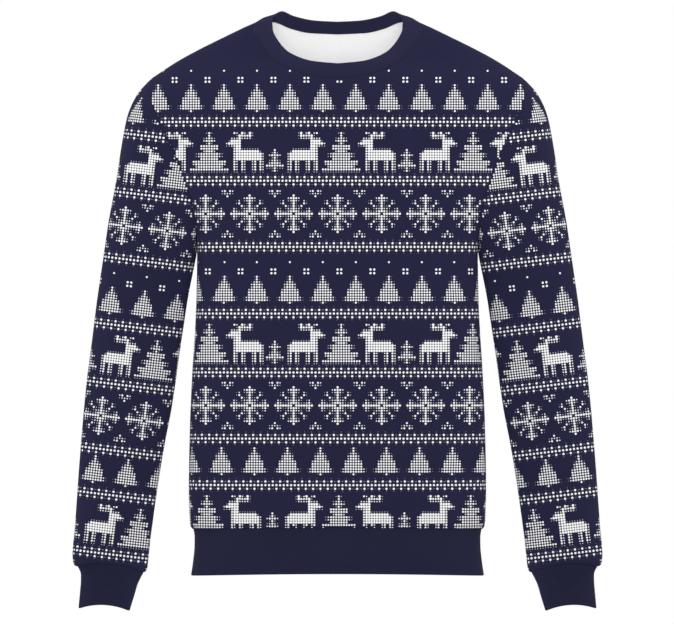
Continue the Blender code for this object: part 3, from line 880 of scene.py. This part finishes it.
def mirror_creases(creases):
    flip = np.array([-1, 1])
    sides = {-1: "front", 1: "back"}
    return [
        Crease(sides[c.faces], c.start * flip, c.end * flip, -c.bow, c.width, c.height) for c in creases
    ]


# ---- Meshes ----
OUTSIDE, INSIDE = 0, 1  # the two material slots of a wall
BAKE_MARGIN = 0.02  # round each side of a wall in the map that it is baked by


def wall_quads(rows, columns, closed):
    """Faces of a wall as (row, column, layer) corners, and the material of each. Layer 1 is its inner side."""
    last = columns if closed else columns - 1
    row, column = (index.ravel() for index in np.meshgrid(np.arange(rows - 1), np.arange(last), indexing="ij"))
    sheet = np.stack([
        np.stack([row, column], axis=1),
        np.stack([row, column + 1], axis=1),
        np.stack([row + 1, column + 1], axis=1),
        np.stack([row + 1, column], axis=1),
    ], axis=1)
    outer = np.concatenate([sheet, np.zeros_like(sheet[..., :1])], axis=2)
    inner = np.concatenate([sheet[:, ::-1], np.ones_like(sheet[..., :1])], axis=2)
    rims = []
    edges = [([0] * (last + 1), range(last, -1, -1)), ([rows - 1] * (last + 1), range(last + 1))]
    if not closed:
        edges.append((range(rows), [0] * rows))
        edges.append((range(rows - 1, -1, -1), [columns - 1] * rows))
    for edge in edges:
        run = list(zip(*edge))
        for a, b in zip(run, run[1:]):
            rims.append([(*a, 0), (*b, 0), (*b, 1), (*a, 1)])
    rims = np.array(rims)
    quads = np.concatenate([outer, inner, rims])
    materials = np.repeat([OUTSIDE, INSIDE, OUTSIDE], [len(outer), len(inner), len(rims)])
    return quads, materials


def new_object(name, points, faces):
    """Makes a smooth mesh object from points in millimetres."""
    mesh = bpy.data.meshes.new(name)
    mesh.from_pydata((np.asarray(points) * METRES).tolist(), [], faces.tolist())
    mesh.shade_smooth()
    made = bpy.data.objects.new(name, mesh)
    bpy.context.scene.collection.objects.link(made)
    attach(made, "root")
    return made


def add_uv(mesh, name, corners):
    mesh.uv_layers.new(name=name).uv.foreach_set("vector", np.asarray(corners, np.float32).ravel())


def add_cloth(piece, outside, inside):
    """Makes a piece's wall, with a UV map in metres of flat cloth and one that lays both sides out to bake."""
    outer, inner = piece.sides()
    rows, columns = piece.grid.shape[:2]
    quads, materials = wall_quads(rows, columns, piece.closed)
    row, column, layer = np.moveaxis(quads, -1, 0)
    points = np.concatenate([outer.reshape(-1, 3), inner.reshape(-1, 3)])
    faces = layer * rows * columns + row * columns + column % columns
    made = new_object(piece.name + "_cloth", points, faces)
    made.data.materials.append(outside)
    made.data.materials.append(inside)
    made.data.polygons.foreach_set("material_index", materials.astype(np.int32))
    add_uv(made.data, "Weave", piece.flat[row, column] * METRES)
    across = column / (columns if piece.closed else columns - 1)
    up = row / (rows - 1)
    half = np.where(layer == 1, 0.5 + BAKE_MARGIN, BAKE_MARGIN) + (0.5 - 2 * BAKE_MARGIN) * across
    add_uv(made.data, "OFBake", np.stack([half, BAKE_MARGIN + (1 - 2 * BAKE_MARGIN) * up], axis=-1))
    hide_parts(piece.name)
    return made


# ---- Print ----
def mirrored_chart(*rows):
    """A chart from its right half, with the first column in the middle."""
    return [row[:0:-1] + row for row in rows]


def chart_dots(rows, pitch, middle=None, flip=False):
    """Dots (across, height, radius) of a chart, across from its middle column and down from its first row."""
    dots = []
    for down, row in enumerate(rows):
        for column, mark in enumerate(row):
            if mark in DOT_RADIUS:
                across = (column - (len(row) - 1) / 2 if middle is None else column - middle) * pitch
                dots.append((-across if flip else across, -down * pitch, DOT_RADIUS[mark]))
    return np.array(dots)


def snowflake_chart():
    """A snowflake from its upper right quarter, with the first column and the last row through its middle."""
    upper = mirrored_chart(*SNOWFLAKE_QUARTER)
    return upper + upper[-2::-1]


def print_dots(tiles, low, high, first, last):
    """Every dot of the print between two heights and two distances across."""
    charts = {
        "dot": chart_dots(["#"], CELL),
        "four dots": chart_dots(["@@", "@@"], BORDER_CELL),
        "small tree": chart_dots(mirrored_chart(*SMALL_TREE), CELL),
        "big tree": chart_dots(mirrored_chart(*BIG_TREE), CELL),
        "mini tree": chart_dots(mirrored_chart(*MINI_TREE), CELL),
        "deer": chart_dots(DEER, CELL),
        "deer back": chart_dots(DEER, CELL, flip=True),
        "heart": chart_dots(HEART, CELL),
        "triangle": chart_dots(HEART[::-1], CELL),
        "snowflake": chart_dots(snowflake_chart(), CELL),
        "border": np.concatenate([
            chart_dots(BORDER, BORDER_CELL, middle=0), np.array(BORDER_FLECKS) * (1, -1, 1)]),
    }
    dots = []
    for tile_top, shift, skipped in tiles:
        for name, down, starts, count in TILE_ROWS[skipped:]:
            top = tile_top - down
            if top < low - MOTIF_REACH or top > high + MOTIF_REACH:
                continue
            step = REPEAT / count
            for start in starts:
                begin = math.floor((first - start - shift) / step) - 1
                end = math.ceil((last - start - shift) / step) + 1
                for place in range(begin, end + 1):
                    dots.append(charts[name] + (start + shift + place * step, top, 0))
    return np.concatenate(dots)


def add_print(piece, material):
    """Lays the print's dots on the piece: small discs just proud of the cloth, left out past its edges."""
    outer = piece.sides()[0]
    rows, columns = piece.grid.shape[:2]
    row, column = (index.ravel() for index in np.meshgrid(
        np.arange(rows - 1), np.arange(piece.flat.shape[1] - 1), indexing="ij"))
    triangles = np.concatenate([
        np.stack([(row, column), (row, column + 1), (row + 1, column + 1)], axis=0),
        np.stack([(row, column), (row + 1, column + 1), (row + 1, column)], axis=0),
    ], axis=2).transpose(2, 0, 1)
    where = (triangles[..., 0], triangles[..., 1])
    flat = np.concatenate([piece.flat[where], np.zeros((len(triangles), 3, 1))], axis=2)
    solid = outer[where[0], where[1] % columns]
    normals = grid_normals(outer, piece.closed)[where[0], where[1] % columns]
    corners = [Vector(point) for point in flat.reshape(-1, 3)]
    tree = BVHTree.FromPolygons(corners, np.arange(len(corners)).reshape(-1, 3).tolist())
    solid = [[Vector(point) for point in triangle] for triangle in solid]
    normals = [[Vector(point) for point in triangle] for triangle in normals]
    turns = np.arange(DOT_CORNERS) * 2 * math.pi / DOT_CORNERS
    ring = np.concatenate([[[0, 0]], np.stack([np.cos(turns), np.sin(turns)], axis=1)])
    down = Vector((0, 0, -1))
    points = []
    low, high = piece.flat.reshape(-1, 2).min(axis=0), piece.flat.reshape(-1, 2).max(axis=0)
    tiles = SLEEVE_TILES if piece.closed else BODY_TILES
    for across, height, radius in print_dots(tiles, low[1], high[1], low[0], high[0]):
        if not (low[0] < across < high[0] and low[1] < height < high[1]):
            continue
        disc = []
        for corner in ring * radius + (across, height):
            at, _, index, _ = tree.ray_cast(Vector((*corner, 1)), down)
            if at is None:
                break
            flat_corners = corners[3 * index:3 * index + 3]
            on_cloth = barycentric_transform(at, *flat_corners, *solid[index])
            lift = barycentric_transform(at, *flat_corners, *normals[index]).normalized() * PRINT_LIFT
            disc.append(on_cloth + lift)
        if len(disc) == len(ring):
            points.extend(disc)
    points = np.array(points)
    starts = np.arange(0, len(points), len(ring))
    fan = np.array([(0, 1 + k, 1 + (k + 1) % DOT_CORNERS) for k in range(DOT_CORNERS)])
    faces = (starts[:, None, None] + fan).reshape(-1, 3)
    a, b, c = (points[faces[0, k]] for k in range(3))
    if facing_sign(a, b, c, piece) < 0:
        faces = faces[:, ::-1]
    made = new_object(piece.name + "_print", points, faces)
    made.data.materials.append(material)
    return made


def facing_sign(a, b, c, piece):
    """More than 0 where the triangle's winding makes it face out of the piece."""
    nearest = np.argmin(np.sum((piece.grid - a) ** 2, axis=2))
    return np.dot(np.cross(b - a, c - a), piece.normals.reshape(-1, 3)[nearest])


def creases(table):
    return [Crease(*row) for row in table]


BODY_CREASES = creases(BODY_CREASE_TABLE)
SLEEVE_CREASES = creases(SLEEVE_CREASE_TABLE)
BAND_CREASES = creases(BAND_CREASE_TABLE)
CUFF_CREASES = creases(CUFF_CREASE_TABLE)


# ---- Materials ----
def new_material(name, colour, roughness):
    """A Principled material, its nodes and its shader."""
    material = bpy.data.materials.new(name)
    material.use_nodes = True
    nodes = material.node_tree.nodes
    shader = nodes["Principled BSDF"]
    shader.inputs["Base Color"].default_value = (*colour, 1)
    shader.inputs["Roughness"].default_value = roughness
    shader.inputs["Specular IOR Level"].default_value = SPECULAR_LEVEL
    shader.inputs["Diffuse Roughness"].default_value = CLOTH_DIFFUSE_ROUGHNESS
    return material, nodes, material.node_tree.links, shader


def texture(material, kind, scale, **values):
    """The strength of a texture laid on flat cloth, which is measured in metres and scaled."""
    nodes, links = material.node_tree.nodes, material.node_tree.links
    source = nodes.new("ShaderNodeUVMap")
    source.uv_map = "Weave"
    mapping = nodes.new("ShaderNodeMapping")
    mapping.inputs["Scale"].default_value = (scale, scale, 1)
    links.new(source.outputs["UV"], mapping.inputs["Vector"])
    made = nodes.new(kind)
    for name, value in values.items():
        if name == "bands_direction":
            made.bands_direction = value
        else:
            made.inputs[name].default_value = value
    links.new(mapping.outputs["Vector"], made.inputs["Vector"])
    return made.outputs["Fac"]


def add_bump(material, shader, height, strength, distance):
    nodes, links = material.node_tree.nodes, material.node_tree.links
    bump = nodes.new("ShaderNodeBump")
    bump.inputs["Strength"].default_value = strength
    bump.inputs["Distance"].default_value = distance
    links.new(height, bump.inputs["Height"])
    links.new(bump.outputs["Normal"], shader.inputs["Normal"])


def jersey(name, colour):
    """Smooth knitted jersey: fine wales, faint unevenness of colour and a soft sheen."""
    material, nodes, links, shader = new_material(name, colour, JERSEY_ROUGHNESS)
    shader.inputs["Sheen Weight"].default_value = 0.005
    shader.inputs["Sheen Roughness"].default_value = 0.5
    wales = texture(material, "ShaderNodeTexWave", WALES_PER_METRE * WAVE_SCALE,
                    bands_direction="X", Scale=1, Distortion=0.6, Detail=0)
    courses = texture(material, "ShaderNodeTexWave", COURSES_PER_METRE * WAVE_SCALE,
                      bands_direction="Y", Scale=1)
    knit = nodes.new("ShaderNodeMath")
    knit.operation = "MULTIPLY"
    links.new(wales, knit.inputs[0])
    links.new(courses, knit.inputs[1])
    add_bump(material, shader, knit.outputs[0], 0.35, 0.0002)
    mix = nodes.new("ShaderNodeMix")
    mix.data_type = "RGBA"
    mix.inputs["A"].default_value = (*((1 - UNEVENNESS) * value for value in colour), 1)
    mix.inputs["B"].default_value = (*((1 + UNEVENNESS) * value for value in colour), 1)
    links.new(texture(material, "ShaderNodeTexNoise", 1, Scale=14, Detail=3), mix.inputs["Factor"])
    links.new(mix.outputs["Result"], shader.inputs["Base Color"])
    return material


def fleece(name, colour):
    """The brushed inside of the cloth."""
    material, _, _, shader = new_material(name, colour, FLEECE_ROUGHNESS)
    shader.inputs["Sheen Weight"].default_value = 0.2
    nap = texture(material, "ShaderNodeTexNoise", 1, Scale=900, Detail=4)
    add_bump(material, shader, nap, 0.5, 0.0006)
    return material


# ---- Stage ----
def add_stage():
    """White surroundings, a pale floor under the garment and two soft lamps."""
    world = bpy.data.worlds.new("studio")
    world.use_nodes = True
    background = world.node_tree.nodes["Background"]
    background.inputs["Color"].default_value = (1, 1, 1, 1)
    background.inputs["Strength"].default_value = WORLD_LIGHT
    bpy.context.scene.world = world
    bpy.context.scene.view_settings.view_transform = "Standard"
    bpy.ops.mesh.primitive_circle_add(
        vertices=96, radius=FLOOR_RADIUS, fill_type="NGON", location=(0, 0, FLOOR_HEIGHT))
    floor = bpy.context.object
    floor.name = "floor"
    floor.data.materials.append(new_material("floor_white", FLOOR_WHITE, FLOOR_ROUGHNESS)[0])
    add_lamp("key_lamp", *KEY_LAMP)
    add_lamp("inside_lamp", *INSIDE_LAMP)


def add_lamp(name, watts, size, place, aim):
    light = bpy.data.lights.new(name, "AREA")
    light.size = size
    light.energy = watts
    lamp = bpy.data.objects.new(name, light)
    lamp.location = place
    lamp.rotation_euler = (Vector(aim) - lamp.location).to_track_quat("-Z", "Y").to_euler()
    lamp.visible_camera = False
    bpy.context.scene.collection.objects.link(lamp)


def add_camera():
    """A long lens straight in front. The photograph's frame is IMAGE pixels, PIXEL mm each at the garment."""
    camera = bpy.data.cameras.new("camera")
    camera.sensor_width = SENSOR
    camera.lens = SENSOR * (CAMERA_DISTANCE - CAMERA_PLANE) / (IMAGE[0] * PIXEL)
    made = bpy.data.objects.new("camera", camera)
    made.location = Vector((CAMERA_AIM[0], -CAMERA_DISTANCE, CAMERA_AIM[1])) * METRES
    made.rotation_euler = (math.pi / 2, 0, 0)
    camera.clip_end = 100
    bpy.context.scene.collection.objects.link(made)
    bpy.context.scene.camera = made


# ---- The whole ----
def main():
    add_camera()
    add_stage()
    pieces = garment()
    share_seam_normals(pieces)
    for piece in pieces:
        piece.step_back_from_seams()
        piece.add_edge_lines()
    navy = jersey("navy_jersey", NAVY)
    band = jersey("band_jersey", BAND_NAVY)
    # the neckband's inside material is a lighter copy of its navy jersey: painted light against the shade inside
    # the neck ring
    neckband_sides_with_painted_light_inside = (jersey("neckband_jersey", NECKBAND_NAVY), jersey("neckband_inside_painted_light", NECKBAND_INSIDE_PAINTED_LIGHT_NAVY))
    white = fleece("white_fleece", WHITE_INSIDE)
    ink = new_material("white_ink", INK, INK_ROUGHNESS)[0]
    for piece in pieces:
        is_band = piece.wall == BAND_WALL
        sides = (band, band) if is_band else (navy, white)
        cloth = add_cloth(piece, *(neckband_sides_with_painted_light_inside if piece.name == "neckband" else sides))
        if is_band:
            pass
        else:
            printed = add_print(piece, ink)


main()
